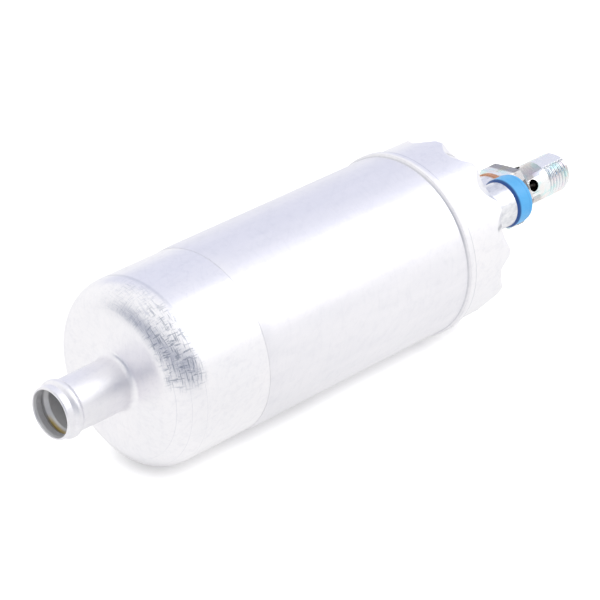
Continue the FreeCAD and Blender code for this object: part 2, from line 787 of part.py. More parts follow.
def magnet(label, sign):
    body = new_body(label)
    inner = "magnet_inner" if sign > 0 else "0 - magnet_inner"
    outer = "flux_inner" if sign > 0 else "0 - flux_inner"
    outline = polygon_sketch(body, label + "_outline", "XZ_Plane", [
        ("magnet_start", inner),
        ("magnet_start", outer),
        ("magnet_start + magnet_length", outer),
        ("magnet_start + magnet_length", inner),
    ])
    shell = body.newObject("PartDesign::Revolution", label + "_shell")
    shell.Profile = outline
    shell.ReferenceAxis = (outline, ["H_Axis"])
    bind(shell, "Angle", "magnet_angle")
    shell.Midplane = True
    doc.recompute()
    return keep(body, label)


magnet("magnet_upper", 1)
magnet("magnet_lower", -1)


def clip(name, sign):
    """Arched spring strip that spreads between the two magnets."""
    body = new_body(name)
    half = (180.0 - VALUES["magnet_angle"]) / 2.0
    inner = "flux_inner - 1.2" if sign > 0 else "1.2 - flux_inner"
    outer = "flux_inner" if sign > 0 else "0 - flux_inner"
    outline = polygon_sketch(body, name + "_outline", "XY_Plane", [
        ("magnet_start + 3", inner),
        ("magnet_start + 3", outer),
        ("magnet_start + magnet_length - 3", outer),
        ("magnet_start + magnet_length - 3", inner),
    ])
    strip = body.newObject("PartDesign::Revolution", name + "_strip")
    strip.Profile = outline
    strip.ReferenceAxis = (outline, ["H_Axis"])
    strip.setExpression("Angle", "180 - Sizes.magnet_angle")
    strip.Midplane = True
    doc.recompute()
    return body


clips = doc.addObject("Part::Compound", "clip_set")
clips.Links = [clip("clip_front", 1), clip("clip_back", -1)]
keep(clips, "magnet_clips")

# armature: slotted core, copper coils in the slots and round both ends
core = new_body("armature_core")
turned(core, "core_turned", [
    ("core_start", "shaft_radius"),
    ("core_start", "core_radius"),
    ("core_start + core_length", "core_radius"),
    ("core_start + core_length", "shaft_radius"),
])
slot_sketch = polygon_sketch(core, "core_slot_outline", "YZ_Plane", [
    ("slot_bottom", "0 - 0.25 * slot_width"),
    ("slot_top", "0 - 0.5 * slot_width"),
    ("slot_top", "0 - 0.5 * slot_mouth"),
    ("core_radius + 1", "0 - 0.5 * slot_mouth"),
    ("core_radius + 1", "0.5 * slot_mouth"),
    ("slot_top", "0.5 * slot_mouth"),
    ("slot_top", "0.5 * slot_width"),
    ("slot_bottom", "0.25 * slot_width"),
], "core_start + core_length + 1")
slot = pocket(core, "core_slot", slot_sketch, "core_length + 2")
patterned(core, "core_slots", slot, "slot_count")
keep(core, "armature_core")

coils = new_body("armature_coils")
turned(coils, "coil_front", [
    ("core_start - coil_overhang", "coil_inner + 1.5"),
    ("core_start - coil_overhang", "coil_outer - 2"),
    ("core_start - coil_overhang + 2", "coil_outer"),
    ("core_start", "coil_outer"),
    ("core_start", "coil_inner"),
    ("core_start - coil_overhang + 1.5", "coil_inner"),
])
bar_sketch = polygon_sketch(coils, "coil_bar_outline", "YZ_Plane", [
    ("coil_inner", "0.1 - 0.25 * slot_width"),
    ("coil_outer", "0.1 - 0.5 * slot_width + 0.05"),
    ("coil_outer", "0.5 * slot_width - 0.15"),
    ("coil_inner", "0.25 * slot_width - 0.1"),
], "core_start - 0.5")
bar = pad(coils, "coil_bar", bar_sketch, "core_length + 1")
patterned(coils, "coil_bars", bar, "slot_count")
turned(coils, "coil_rear", [
    ("core_start + core_length", "coil_inner"),
    ("core_start + core_length", "coil_outer"),
    ("core_start + core_length + coil_overhang - 2", "coil_outer"),
    ("core_start + core_length + coil_overhang", "coil_outer - 2"),
    ("core_start + core_length + coil_overhang", "coil_inner + 1.5"),
    ("core_start + core_length + coil_overhang - 1.5", "coil_inner"),
])
keep(coils, "armature_coils")

hub = new_body("commutator_hub")
turned(hub, "commutator_hub_turned", [
    ("commutator_start - 0.6", "shaft_radius"),
    ("commutator_start - 0.6", "commutator_hub + 1"),
    ("commutator_start", "commutator_hub + 1"),
    ("commutator_start", "commutator_hub"),
    ("commutator_start + commutator_length + 0.4", "commutator_hub"),
    ("commutator_start + commutator_length + 0.4", "shaft_radius"),
])
keep(hub, "commutator_hub")

bars = new_body("commutator_bars")
turned(bars, "commutator_turned", [
    ("commutator_start", "commutator_hub"),
    ("commutator_start", "commutator_radius + 1"),
    ("commutator_start + 1", "commutator_radius + 1"),
    ("commutator_start + 1", "commutator_radius"),
    ("commutator_start + commutator_length", "commutator_radius"),
    ("commutator_start + commutator_length", "commutator_hub"),
])
gap_sketch = polygon_sketch(bars, "bar_gap_outline", "YZ_Plane", [
    ("commutator_radius - bar_slot_depth", "0 - 0.5 * bar_slot_width"),
    ("commutator_radius + 2", "0 - 0.5 * bar_slot_width"),
    ("commutator_radius + 2", "0.5 * bar_slot_width"),
    ("commutator_radius - bar_slot_depth", "0.5 * bar_slot_width"),
], "commutator_start + commutator_length + 1")
gap = pocket(bars, "bar_gap", gap_sketch, "commutator_length + 2")
patterned(bars, "bar_gaps", gap, "slot_count")
keep(bars, "commutator_bars")

# brush plate with bush seat and two brush boxes
plate = new_body("brush_plate")
turned(plate, "brush_plate_turned", [
    ("flux_end", "bush_radius"),
    ("flux_end", "plate_radius"),
    ("cover_start", "plate_radius"),
    ("cover_start", "brush_plate_hub"),
    ("flux_end + 6.5", "brush_plate_hub"),
    ("flux_end + 6.5", "bush_radius"),
])
box_half = "0.5 * brush_height + brush_box_wall"
boxes = []
for name, sign in (("left", 1), ("right", -1)):
    near = "brush_box_start" if sign > 0 else "0 - brush_box_start"
    far = "brush_box_end" if sign > 0 else "0 - brush_box_end"
    outline = polygon_sketch(plate, "brush_box_outline_" + name, "YZ_Plane", [
        (near, "0 - " + box_half.replace("+", "-")),
        (far, "0 - " + box_half.replace("+", "-")),
        (far, box_half),
        (near, box_half),
    ], "flux_end + 0.5")
    pad(plate, "brush_box_" + name, outline,
        "flux_end + 0.5 - brush_centre + 0.5 * brush_width + brush_box_wall", reverse=True)
for name, sign in (("left", 1), ("right", -1)):
    near = "brush_box_start - 1" if sign > 0 else "1 - brush_box_start"
    far = "brush_box_end - brush_box_wall" if sign > 0 else "brush_box_wall - brush_box_end"
    outline = polygon_sketch(plate, "brush_bore_outline_" + name, "YZ_Plane", [
        (near, "0 - 0.5 * brush_height - slide_gap"),
        (far, "0 - 0.5 * brush_height - slide_gap"),
        (far, "0.5 * brush_height + slide_gap"),
        (near, "0.5 * brush_height + slide_gap"),
    ], "brush_centre + 0.5 * brush_width + slide_gap")
    pocket(plate, "brush_bore_" + name, outline, "brush_width + 2 * slide_gap")
# flow openings between the boxes
flow_sketch = circle_sketch(plate, "brush_plate_flow_outline", "YZ_Plane",
                            [("0", "flow_place", "flow_hole"), ("0", "0 - flow_place", "flow_hole")],
                            "cover_start + 1")
pocket(plate, "brush_plate_flow", flow_sketch, "brush_plate_length + 2")
keep(plate, "brush_plate")


def brush(label, sign):
    """Carbon block with its end hollowed to the commutator's radius."""
    start = "0" if sign > 0 else "0 - commutator_radius - slide_gap - brush_length"
    blank = block(label + "_blank", "brush_centre - 0.5 * brush_width",
                  start, "0 - 0.5 * brush_height",
                  "brush_width", "commutator_radius + slide_gap + brush_length", "brush_height")
    hollow = rod(label + "_hollow", "commutator_radius + running_gap",
                 "brush_centre - brush_width", "2 * brush_width")
    return keep(cut(label + "_cut", blank, hollow), label)


brush("brush_left", 1)
brush("brush_right", -1)
spring_start = VALUES["commutator_radius"] + VALUES["slide_gap"] + VALUES["brush_length"]
spring_end = VALUES["brush_box_end"] - VALUES["brush_box_wall"]
spring_place = FreeCAD.Vector(VALUES["brush_centre"], 0, 0)
left_spring = coil("brush_spring_left_coil", VALUES["brush_spring_wire"], VALUES["brush_spring_coil"],
                   spring_start, spring_end, 4, spring_place,
                   FreeCAD.Rotation(FreeCAD.Vector(1, 0, 0), -90))
keep(left_spring, "brush_spring_left")
right_spring = coil("brush_spring_right_coil", VALUES["brush_spring_wire"], VALUES["brush_spring_coil"],
                    spring_start, spring_end, 4, spring_place,
                    FreeCAD.Rotation(FreeCAD.Vector(1, 0, 0), 90))
keep(right_spring, "brush_spring_right")

# rear cover with sealing groove, outlet boss and socket barrel
cover = new_body("end_cover")
turned(cover, "cover_turned", [
    ("cover_start", "skirt_inner"),
    ("cover_start", "plate_radius"),
    ("rim_x - rim_fold - fold_chamfer - 0.2", "plate_radius"),
    ("rim_x - rim_fold", "plate_radius - fold_chamfer - 0.2"),
    ("rim_x - rim_fold", "cover_neck_radius + 4"),
    ("cover_neck_x", "cover_neck_radius"),
    ("cover_neck_x + 3", "boss_radius"),
    ("boss_end", "boss_radius"),
    ("boss_end", "root_radius + seat_gap"),
    ("root_start", "root_radius + seat_gap"),
    ("root_start", "passage_radius"),
    ("cover_wall_x", "passage_radius"),
    ("cover_wall_x", "skirt_inner - 3"),
    ("cover_wall_x - 3", "skirt_inner"),
])
turned(cover, "oring_groove", [
    ("oring_x - 0.5 * oring_groove_width", "plate_radius - oring_groove_depth"),
    ("oring_x - 0.5 * oring_groove_width", "plate_radius + 1"),
    ("oring_x + 0.5 * oring_groove_width", "plate_radius + 1"),
    ("oring_x + 0.5 * oring_groove_width", "plate_radius - oring_groove_depth"),
], kind="PartDesign::Groove")


def offset_circle(body, name, radius, x_spec):
    """Circle on the barrel's axis, which stands off the pump axis."""
    sketch = circle_sketch(body, name, "YZ_Plane", [("barrel_offset", "0", radius)], x_spec)
    bind(sketch, "AttachmentOffset.Rotation.Angle", "barrel_angle")
    return sketch


barrel_sketch = offset_circle(cover, "barrel_outline", "barrel_radius", "cover_wall_x + 1")
pad(cover, "barrel", barrel_sketch, "barrel_end - cover_wall_x - 1")
barrel_bore = offset_circle(cover, "barrel_bore_outline", "barrel_bore", "barrel_end")
pocket(cover, "barrel_bore_cut", barrel_bore, "barrel_end - socket_root")
keep(cover, "end_cover")

# the ring's round section, drawn with twelve sides
oring = new_body("cover_oring")
oring_points = []
for k in range(12):
    angle = math.radians(30.0 * k + 15.0)
    oring_points.append(("oring_x + %.4f * oring_section" % (math.cos(angle) / math.cos(math.radians(15.0))),
                         "can_inner - seat_gap - oring_section + %.4f * oring_section"
                         % (math.sin(angle) / math.cos(math.radians(15.0)))))
turned(oring, "oring_turned", oring_points)
keep(oring, "cover_oring")

# insulator in the barrel with its wide ring outside and the open socket
socket = new_body("socket_insulator")
turned(socket, "socket_turned", [
    ("socket_root", "0"),
    ("socket_root", "barrel_bore - seat_gap"),
    ("barrel_end", "barrel_bore - seat_gap"),
    ("barrel_end", "barrel_radius"),
    ("barrel_end + socket_lead", "socket_ring_radius"),
    ("socket_ring_end", "socket_ring_radius"),
    ("socket_ring_end + 0.4", "socket_lip_radius"),
    ("socket_end", "socket_lip_radius"),
    ("socket_end", "socket_cavity"),
    ("socket_floor", "socket_cavity"),
    ("socket_floor", "0"),
])
pin_slots = polygon_sketch(socket, "pin_slot_left_outline", "YZ_Plane", [
    ("0 - 0.5 * pin_width", "pin_spread - 0.5 * pin_thickness"),
    ("0.5 * pin_width", "pin_spread - 0.5 * pin_thickness"),
    ("0.5 * pin_width", "pin_spread + 0.5 * pin_thickness"),
    ("0 - 0.5 * pin_width", "pin_spread + 0.5 * pin_thickness"),
], "socket_floor + 1")
pocket(socket, "pin_slot_left", pin_slots, "socket_floor - socket_root + 2")
pin_slots = polygon_sketch(socket, "pin_slot_right_outline", "YZ_Plane", [
    ("0 - 0.5 * pin_width", "0 - pin_spread - 0.5 * pin_thickness"),
    ("0.5 * pin_width", "0 - pin_spread - 0.5 * pin_thickness"),
    ("0.5 * pin_width", "0.5 * pin_thickness - pin_spread"),
    ("0 - 0.5 * pin_width", "0.5 * pin_thickness - pin_spread"),
], "socket_floor + 1")
pocket(socket, "pin_slot_right", pin_slots, "socket_floor - socket_root + 2")
bind(socket, "Placement.Base.y", "barrel_y")
bind(socket, "Placement.Base.z", "barrel_z")
keep(socket, "socket_insulator")


def contact_pin(label, sign):
    """Flat contact blade through the insulator; its tail reaches towards the brush plate."""
    middle = "pin_spread" if sign > 0 else "0 - pin_spread"
    body = new_body(label)
    outline = polygon_sketch(body, label + "_outline", "YZ_Plane", [
        ("0 - 0.5 * pin_width", middle + " - 0.5 * pin_thickness"),
        ("0.5 * pin_width", middle + " - 0.5 * pin_thickness"),
        ("0.5 * pin_width", middle + " + 0.5 * pin_thickness"),
        ("0 - 0.5 * pin_width", middle + " + 0.5 * pin_thickness"),
    ], "pin_tail")
    pad(body, label + "_blade", outline, "pin_tip - pin_tail")
    bind(body, "Placement.Base.y", "barrel_y")
    bind(body, "Placement.Base.z", "barrel_z")
    return keep(body, label)


contact_pin("pin_upper", 1)
contact_pin("pin_lower", -1)

# flat leads from the blades' tails to the brush boxes, bent up at the tails
lead_x = "cover_start"
upper_lead = fused("lead_upper_parts", [
    block("lead_upper_riser", lead_x, "barrel_y - 0.5 * pin_width", "barrel_z + pin_spread - 0.5 * pin_thickness",
          "lead_rise", "pin_width", "pin_thickness"),
    block("lead_upper_foot", lead_x, "barrel_y - 0.5 * pin_width", "lead_level",
          "lead_thickness", "lead_reach + 0.5 * pin_width - barrel_y", "pin_width"),
    block("lead_upper_arm", lead_x, "lead_reach - 0.5 * pin_width", "0 - 0.5 * pin_width",
          "lead_thickness", "pin_width", "lead_level + pin_width"),
])
keep(upper_lead, "lead_upper")
lower_lead = fused("lead_lower_parts", [
    block("lead_lower_riser", lead_x, "barrel_y - 0.5 * pin_width", "barrel_z - pin_spread - 0.5 * pin_thickness",
          "lead_rise", "pin_width", "pin_thickness"),
    block("lead_lower_foot", lead_x, "0 - lead_reach - 0.5 * pin_width", "0 - 0.5 * pin_width",
          "lead_thickness", "lead_reach + pin_width + barrel_y", "barrel_z - pin_spread + pin_thickness"),
])
keep(lower_lead, "lead_lower")

# sealing washer under the fitting
washer = cut("washer_cut", rod("washer_outer", "washer_radius", "boss_end", "washer_thickness"),
             rod("washer_inner", "root_radius", "boss_end - 1", "washer_thickness + 2"))
keep(washer, "copper_washer")

# check valve fitting: hexagon, shank with crossed holes, threaded end with a flat
fitting = new_body("valve_fitting")
turned(fitting, "fitting_turned", [
    ("root_start", "0"),
    ("root_start", "root_radius - 0.4"),
    ("root_start + 0.4", "root_radius"),
    ("hex_start", "root_radius"),
    ("hex_start", "shank_radius"),
    ("fitting_end - end_chamfer", "shank_radius"),
    ("fitting_end", "shank_radius - end_chamfer"),
    ("fitting_end", "0"),
])
hex_sketch = new_sketch(fitting, "hex_outline", "YZ_Plane", "hex_start")
corner = VALUES["hex_flats"] / math.sqrt(3.0)
spots = []
for k in range(6):
    angle = math.radians(60.0 * k)
    spots.append(FreeCAD.Vector(corner * math.cos(angle), corner * math.sin(angle), 0))
for k in range(6):
    hex_sketch.addGeometry(Part.LineSegment(spots[k], spots[(k + 1) % 6]), False)
hex_sketch.addGeometry(Part.Circle(FreeCAD.Vector(0, 0, 0), FreeCAD.Vector(0, 0, 1), corner), True)
for k in range(6):
    hex_sketch.addConstraint(Sketcher.Constraint("Coincident", k, 2, (k + 1) % 6, 1))
    hex_sketch.addConstraint(Sketcher.Constraint("PointOnObject", k, 1, 6))
for k in range(5):
    hex_sketch.addConstraint(Sketcher.Constraint("Equal", k, k + 1))
hex_sketch.addConstraint(Sketcher.Constraint("Coincident", 6, 3, -1, 1))
hex_sketch.addConstraint(Sketcher.Constraint("PointOnObject", 0, 1, -1))
radius_index = hex_sketch.addConstraint(Sketcher.Constraint("Radius", 6, corner))
hex_sketch.setExpression("Constraints[%d]" % radius_index, "Sizes.hex_flats / sqrt(3)")
bind(hex_sketch, "AttachmentOffset.Rotation.Angle", "hex_turn")
bind(hex_sketch, "AttachmentOffset.Base.z", "hex_start")
pad(fitting, "hexagon", hex_sketch, "hex_length")
turned(fitting, "hex_corner_near", [
    ("hex_start - 1", "0.5 * hex_flats - 0.3"),
    ("hex_start - 1", "0.5 * hex_flats + 5"),
    ("hex_start + 2", "0.5 * hex_flats + 5"),
    ("hex_start", "0.5 * hex_flats - 0.3"),
], kind="PartDesign::Groove")
turned(fitting, "hex_corner_far", [
    ("hex_end + 1", "0.5 * hex_flats + 5"),
    ("hex_end - hex_far_chamfer", "0.5 * hex_flats + 5"),
    ("hex_end", "0.5 * hex_flats + 0.2"),
    ("hex_end + 1", "0.5 * hex_flats + 0.2"),
], kind="PartDesign::Groove")
bore_sketch = circle_sketch(fitting, "valve_bore_outline", "YZ_Plane", [("0", "0", "valve_bore")], "root_start")
pocket(fitting, "valve_bore_cut", bore_sketch, "valve_bore_end - root_start", forward=True)
gallery_sketch = circle_sketch(fitting, "gallery_outline", "YZ_Plane", [("0", "0", "gallery_radius")],
                               "valve_bore_end")
pocket(fitting, "gallery_cut", gallery_sketch, "gallery_end - valve_bore_end", forward=True)
for name, turn in (("first", "cross_turn"), ("second", "cross_turn - 90")):
    sketch = circle_sketch(fitting, "cross_hole_outline_" + name, "XY_Plane",
                           [("cross_x", "0", "cross_radius")])
    sketch.AttachmentOffset = FreeCAD.Placement(
        FreeCAD.Vector(0, 0, 0), FreeCAD.Rotation(FreeCAD.Vector(1, 0, 0), 1.0))
    bind(sketch, "AttachmentOffset.Rotation.Angle", turn + " - 90")
    before = fitting.Shape.Volume
    feature = fitting.newObject("PartDesign::Pocket", "cross_hole_" + name)
    feature.Profile = sketch
    feature.Type = "ThroughAll"
    feature.Midplane = True
    doc.recompute()
    if not fitting.Shape.Volume < before - 1:
        raise RuntimeError("cross hole cuts nothing: " + name)
flat_sketch = polygon_sketch(fitting, "flat_outline", "YZ_Plane", [
    ("shank_radius - flat_depth", "0 - shank_radius"),
    ("shank_radius + 2", "0 - shank_radius"),
    ("shank_radius + 2", "shank_radius"),
    ("shank_radius - flat_depth", "shank_radius"),
], "thread_x")
bind(flat_sketch, "AttachmentOffset.Rotation.Angle", "flat_angle")
pocket(fitting, "thread_flat", flat_sketch, "fitting_end - thread_x + 1", forward=True)
keep(fitting, "valve_fitting")

# valve seat pressed in the fitting's root, poppet and spring
seat = new_body("valve_seat")
turned(seat, "seat_turned", [
    ("root_start", "valve_throat"),
    ("root_start", "valve_bore"),
    ("root_start + seat_length", "valve_bore"),
    ("root_start + seat_length", "valve_throat + 0.9"),
    ("root_start + seat_length - 0.9", "valve_throat"),
])
keep(seat, "valve_seat")

poppet = new_body("check_poppet")
turned(poppet, "poppet_turned", [
    ("root_start + seat_length - 1.9 + seat_gap", "0"),
    ("root_start + seat_length - 1.9 + seat_gap", "valve_throat - 1"),
    ("root_start + seat_length + 0.2 + seat_gap", "valve_throat + 1.1"),
    ("root_start + seat_length + 1.4", "valve_throat + 1.1"),
    ("root_start + seat_length + 1.4", "poppet_stem"),
    ("root_start + seat_length + 5.5", "poppet_stem"),
    ("root_start + seat_length + 5.5", "0"),
])
wing_sketch = polygon_sketch(poppet, "poppet_wing_outline", "YZ_Plane", [
    ("0.5 * poppet_stem", "0 - 0.5"),
    ("valve_bore - slide_gap", "0 - 0.5"),
    ("valve_bore - slide_gap", "0.5"),
    ("0.5 * poppet_stem", "0.5"),
], "root_start + seat_length + 0.5")
wing = pad(poppet, "poppet_wing", wing_sketch, "0.9")
patterned(poppet, "poppet_wings", wing, "4")
keep(poppet, "check_poppet")
check_spring = coil("check_spring_coil", VALUES["check_wire"], VALUES["check_coil"],
                    number("root_start + seat_length + 1.4"), number("valve_bore_end"),
                    6, FreeCAD.Vector(0, 0, 0), ALONG_X)
keep(check_spring, "check_spring")

doc.recompute()


def run():
    os.makedirs("parts", exist_ok=True)
    for item in doc.Objects:
        for word in ("Invalid", "Error"):
            if word in item.State:
                raise RuntimeError("object is not right: " + item.Label + " " + str(item.State))
    for label, item in NODES:
        shape = item.Shape
        if shape.isNull() or not shape.isValid() or shape.Volume <= 0:
            raise RuntimeError("shape is not valid: " + label)
        shape.exportStep("parts/%s.step" % label)


run()
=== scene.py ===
import json
import math

import bmesh
import bpy
from mathutils import Matrix, Vector


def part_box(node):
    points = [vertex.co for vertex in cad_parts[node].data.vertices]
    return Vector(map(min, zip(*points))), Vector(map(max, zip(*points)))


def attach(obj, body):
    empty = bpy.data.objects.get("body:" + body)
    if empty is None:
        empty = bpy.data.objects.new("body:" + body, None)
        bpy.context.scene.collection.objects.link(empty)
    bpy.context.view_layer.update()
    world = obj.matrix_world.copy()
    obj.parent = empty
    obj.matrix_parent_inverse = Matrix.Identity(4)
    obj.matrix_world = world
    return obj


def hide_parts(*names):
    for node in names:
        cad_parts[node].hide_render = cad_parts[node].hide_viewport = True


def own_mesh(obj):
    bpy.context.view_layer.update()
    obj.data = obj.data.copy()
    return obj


# Inline fuel pump on a white floor. Metres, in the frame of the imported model: X along the pump, Z up.

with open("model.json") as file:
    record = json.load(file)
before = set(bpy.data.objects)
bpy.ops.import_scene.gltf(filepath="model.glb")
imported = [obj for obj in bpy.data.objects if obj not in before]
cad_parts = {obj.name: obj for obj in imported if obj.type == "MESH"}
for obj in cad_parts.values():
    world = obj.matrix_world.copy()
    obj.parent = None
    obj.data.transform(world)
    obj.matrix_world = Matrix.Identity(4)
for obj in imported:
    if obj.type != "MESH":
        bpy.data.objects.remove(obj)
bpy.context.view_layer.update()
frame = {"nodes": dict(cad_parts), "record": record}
MM = 0.001

# camera, solved from the outline of the can, the neck and the outlet shank
CAMERA_PLACE = Vector((-0.5361, -0.5320, 0.4110))
CAMERA_BACK = Vector((-0.6225, -0.6181, 0.4801))
CAMERA_UP = Vector((0.3407, 0.3382, 0.8772))
CAMERA_LENS = 165.0
SENSOR_WIDTH = 36.0

# film round the can: ends and radii in millimetres
FILM_FRONT = -43.0
FILM_REAR = 44.2
FILM_INNER = 30.01
FILM_OUTER = 30.35
FILM_SIDES = 288

# formed ring behind the film, and the creases beside the rim's dents
RING_START = FILM_REAR * MM
RING_END = 48.6 * MM
DENT_COUNT = 12
CREASE_ANGLE = math.radians(10.0)

# outlet fitting: hexagon, then the threaded end with its run-out, chamfer and flat
HEX_START = 91.5 * MM
SHANK_RADIUS = 6.85 * MM
THREAD_START = 111.7 * MM
THREAD_PITCH = 1.5 * MM
THREAD_DEPTH = 0.84 * MM
THREAD_CREST = 0.0625
THREAD_FLANK = 0.3125
THREAD_SIDES = 160
THREAD_RINGS = 116
END_CHAMFER = 0.9 * MM
FLAT_DISTANCE = 5.99 * MM
FLAT_ANGLE = math.radians(91.2)
FLAT_BLEND = 6.45 * MM
FITTING_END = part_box("valve_fitting")[1].x

FLOOR_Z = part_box("can")[0].z
HALF_FLOOR = 3.0


# nodes: plain sums


def new_material(name, metallic, roughness):
    """Material with one principled shader; returns the material, its tree and its shader."""
    material = bpy.data.materials.new(name)
    material.use_nodes = True
    tree = material.node_tree
    shader = tree.nodes["Principled BSDF"]
    shader.inputs["Metallic"].default_value = metallic
    shader.inputs["Roughness"].default_value = roughness
    return material, tree, shader


def feed(tree, socket, value):
    """Give a node's input a number or another node's output."""
    if isinstance(value, (int, float)):
        socket.default_value = value
    else:
        tree.links.new(value, socket)


def calc(tree, operation, *values):
    """Result of one math node; each input is a number or a socket."""
    node = tree.nodes.new("ShaderNodeMath")
    node.operation = operation
    for socket, value in zip(node.inputs, values):
        feed(tree, socket, value)
    return node.outputs[0]


def chain(tree, operation, values):
    """One operation carried on through all values."""
    result = values[0]
    for value in values[1:]:
        result = calc(tree, operation, result, value)
    return result


def product(tree, *values):
    """Numbers and sockets multiplied."""
    return chain(tree, "MULTIPLY", values)


def total(tree, *values):
    """Numbers and sockets added up."""
    return chain(tree, "ADD", values)


def largest(tree, *values):
    """The largest of some numbers and sockets."""
    return chain(tree, "MAXIMUM", values)


def split(tree, vector):
    """The three parts of a vector."""
    node = tree.nodes.new("ShaderNodeSeparateXYZ")
    tree.links.new(vector, node.inputs[0])
    return node.outputs[0], node.outputs[1], node.outputs[2]


def join(tree, *parts):
    """Vector from three parts, each a number or a socket."""
    node = tree.nodes.new("ShaderNodeCombineXYZ")
    for socket, value in zip(node.inputs, parts):
        feed(tree, socket, value)
    return node.outputs[0]


def place_of(tree):
    """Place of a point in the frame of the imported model."""
    return tree.nodes.new("ShaderNodeTexCoord").outputs["Object"]


def round_place(tree, place):
    """Distance along the pump, radius and angle of a point."""
    x, y, z = split(tree, place)
    radius = calc(tree, "SQRT", total(tree, product(tree, y, y), product(tree, z, z)))
    angle = calc(tree, "ARCTAN2", z, y)
    return x, radius, angle


# nodes: masks, noise, colours and relief


def remap(tree, value, low, high, to_low=0.0, to_high=1.0, smooth=False):
    """Value brought from one range to another and held inside it."""
    node = tree.nodes.new("ShaderNodeMapRange")
    node.interpolation_type = "SMOOTHSTEP" if smooth else "LINEAR"
    tree.links.new(value, node.inputs["Value"])
    node.inputs["From Min"].default_value = low
    node.inputs["From Max"].default_value = high
    node.inputs["To Min"].default_value = to_low
    node.inputs["To Max"].default_value = to_high
    return node.outputs["Result"]


def fade_out(tree, value, low, high, smooth=True):
    """One below the first value, zero above the second."""
    return remap(tree, value, low, high, 1.0, 0.0, smooth=smooth)


def band(tree, value, rise, fall, smooth=True):
    """One between two edges; each edge is the pair of values between which it fades."""
    risen = remap(tree, value, *rise, smooth=smooth)
    return product(tree, risen, fade_out(tree, value, *fall, smooth=smooth))


def between(tree, value, low, high):
    """One between two sharp limits."""
    return product(tree, calc(tree, "GREATER_THAN", value, low), calc(tree, "LESS_THAN", value, high))


def line_mask(tree, value, middle, width):
    """One on a thin line, fading to zero on both sides."""
    away = calc(tree, "ABSOLUTE", calc(tree, "SUBTRACT", value, middle))
    return fade_out(tree, away, 0.0, width)


def noise(tree, vector, scale, detail=2.0, roughness=0.5):
    """Cloudy noise between zero and one."""
    node = tree.nodes.new("ShaderNodeTexNoise")
    tree.links.new(vector, node.inputs["Vector"])
    node.inputs["Scale"].default_value = scale
    node.inputs["Detail"].default_value = detail
    node.inputs["Roughness"].default_value = roughness
    return node.outputs["Fac"]


def noise_over(tree, parts, detail=2.0, roughness=0.5):
    """Noise over three parts that are scaled already."""
    return noise(tree, join(tree, *parts), 1.0, detail, roughness)


def turning_lines(tree, along, angle, scale, detail=2.0, roughness=0.5):
    """Fine lines round the axis, as a lathe leaves them."""
    return noise_over(tree, (product(tree, along, scale), angle, 0.0), detail, roughness)


def strokes(tree, along, around, lean, seed, fine=1900.0, coarse=190.0):
    """Short straight scratches, laid at the given lean to the turning direction."""
    cosine = math.cos(lean)
    sine = math.sin(lean)
    across = total(tree, product(tree, along, cosine), product(tree, around, sine))
    lengthways = calc(tree, "SUBTRACT", product(tree, around, cosine), product(tree, along, sine))
    stretched = (product(tree, across, fine), product(tree, lengthways, coarse), seed)
    return remap(tree, noise_over(tree, stretched, 2.0, 0.6), 0.54, 0.64)


def blend_colour(tree, share, first, second):
    """Mix of two colours, each an RGB triple or a socket."""
    node = tree.nodes.new("ShaderNodeMix")
    node.data_type = "RGBA"
    tree.links.new(share, node.inputs["Factor"])
    for socket, value in ((node.inputs[6], first), (node.inputs[7], second)):
        if isinstance(value, tuple):
            socket.default_value = (*value, 1.0)
        else:
            tree.links.new(value, socket)
    return node.outputs[2]


def paint(tree, colour, layers):
    """Colour with layers laid over it; each layer is a mask, its strength and an RGB triple."""
    for mask, strength, shade in layers:
        colour = blend_colour(tree, product(tree, mask, strength), colour, shade)
    return colour


def bump(tree, height, distance, under=None):
    """Surface normal with a relief of the given height in metres."""
    node = tree.nodes.new("ShaderNodeBump")
    node.inputs["Distance"].default_value = distance
    tree.links.new(height, node.inputs["Height"])
    if under is not None:
        tree.links.new(under, node.inputs["Normal"])
    return node.outputs["Normal"]


def finish_shader(tree, shader, colour, roughness, normal):
    """Link a material's colour, roughness and relief to its shader."""
    for name, value in (("Base Color", colour), ("Roughness", roughness), ("Normal", normal)):
        tree.links.new(value, shader.inputs[name])


# metals and plastic of the outside


def handling_marks(tree, place, scale, limits, scuffs, strengths):
    """Faint specks scattered evenly over a surface, with scuffs; strengths are theirs in turn."""
    specks = remap(tree, noise(tree, place, scale, 4.0, 0.7), *limits)
    return total(tree, product(tree, specks, strengths[0]), product(tree, scuffs, strengths[1]))


def scratches_and_painted_reflection(tree, x, angle, along, around):
    """Crossed scratches on the upper side of the shoulder: bright rubbed ones and dark scored ones. Both are
    painted darker over a patch shaped as a dark reflection, the scored ones denser behind.
    """
    on_shoulder = band(tree, x, rise=(-77.4 * MM, -76.2 * MM), fall=(-70.0 * MM, -65.5 * MM))
    upper_side = band(tree, angle, rise=(1.05, 1.7), fall=(2.75, 2.95))
    patch = product(tree, upper_side, on_shoulder)
    crossed = largest(tree, strokes(tree, along, around, 0.2, 1.0), strokes(tree, along, around, 1.8, 5.0))
    hatched = largest(tree, strokes(tree, along, around, 0.12, 9.0, 1600.0, 230.0),
                      strokes(tree, along, around, 1.62, 13.0, 1600.0, 230.0))
    denser_behind = remap(tree, angle, 1.7, 2.35, 0.25, 1.0, smooth=True)
    return product(tree, patch, crossed), product(tree, patch, hatched, denser_behind)


def dark_line_on_top(tree, x, angle):
    """Soft dark line painted on top, where the shoulder begins."""
    on_top = band(tree, angle, rise=(0.7, 1.0), fall=(1.9, 2.2), smooth=False)
    return product(tree, line_mask(tree, x, -67.2 * MM, 1.1 * MM), on_top)


